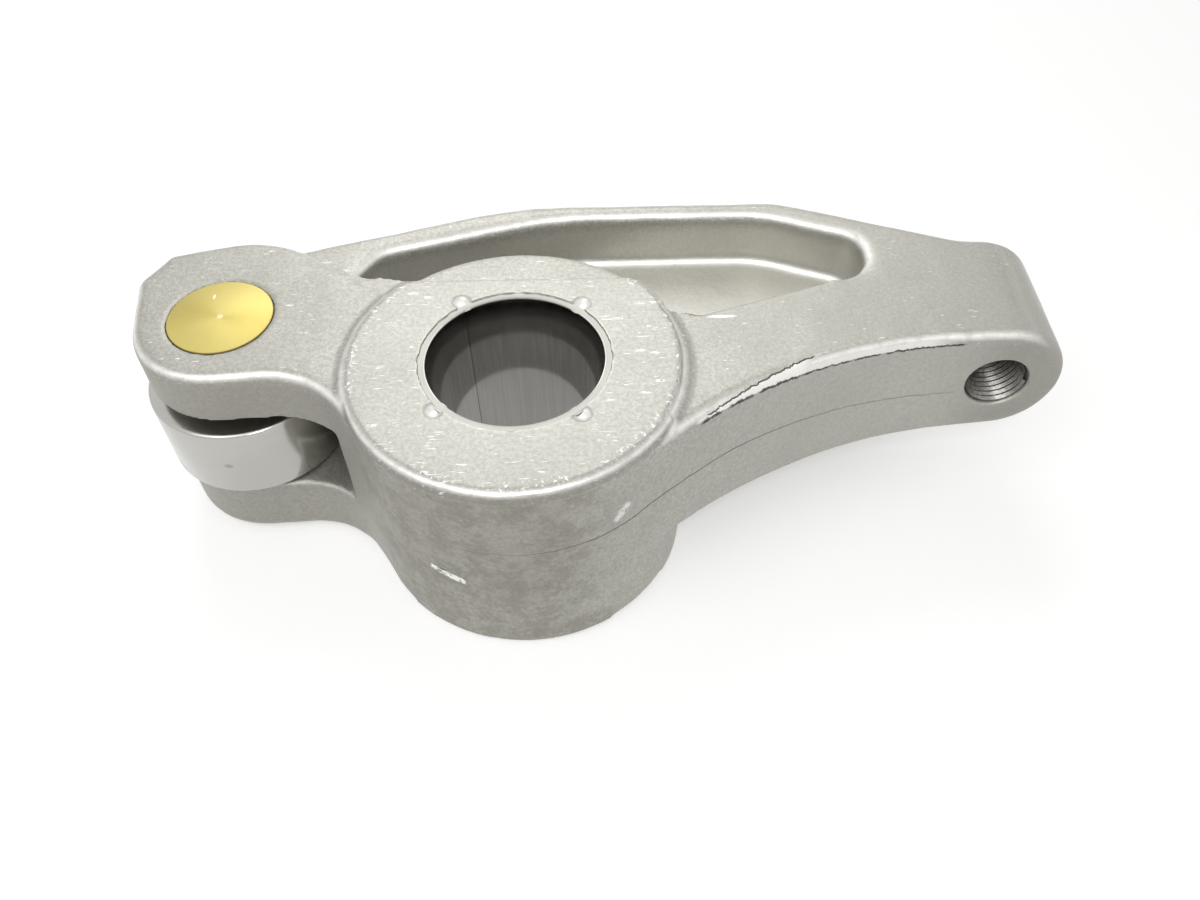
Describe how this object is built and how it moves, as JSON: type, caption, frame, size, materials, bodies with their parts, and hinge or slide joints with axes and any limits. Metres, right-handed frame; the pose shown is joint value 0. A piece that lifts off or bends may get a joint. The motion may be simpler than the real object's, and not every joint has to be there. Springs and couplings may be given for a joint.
{
  "type": "roller rocker arm",
  "caption": "Forged steel roller rocker arm with a bushed shaft hub, a cam roller in a fork and a threaded boss for the valve adjusting screw.",
  "frame": {"origin": "on the shaft bore's axis, at half the hub's height", "axes": "+Z along the shaft bore, +X towards the adjusting screw's boss, -Y towards the cam and the valves"},
  "size_m": [0.2123, 0.0931, 0.056],
  "materials": {
    "forged_steel": "shot-blasted forging",
    "bush_steel": "burnished bore",
    "pin_bronze": "satin",
    "roller_steel": "ground and hardened"
  },
  "bodies": {
    "rocker": {"rocker_body": "forged_steel", "shaft_bush": "bush_steel", "roller_pin": "pin_bronze"},
    "roller": {"cam_roller": "roller_steel"}
  },
  "joints": [
    {"name": "roller_spin", "type": "hinge", "parent": "rocker", "child": "roller", "pos_m": [-0.0666, 0.0158, 0], "axis": [0, 0, 1], "continuous": true}
  ]
}
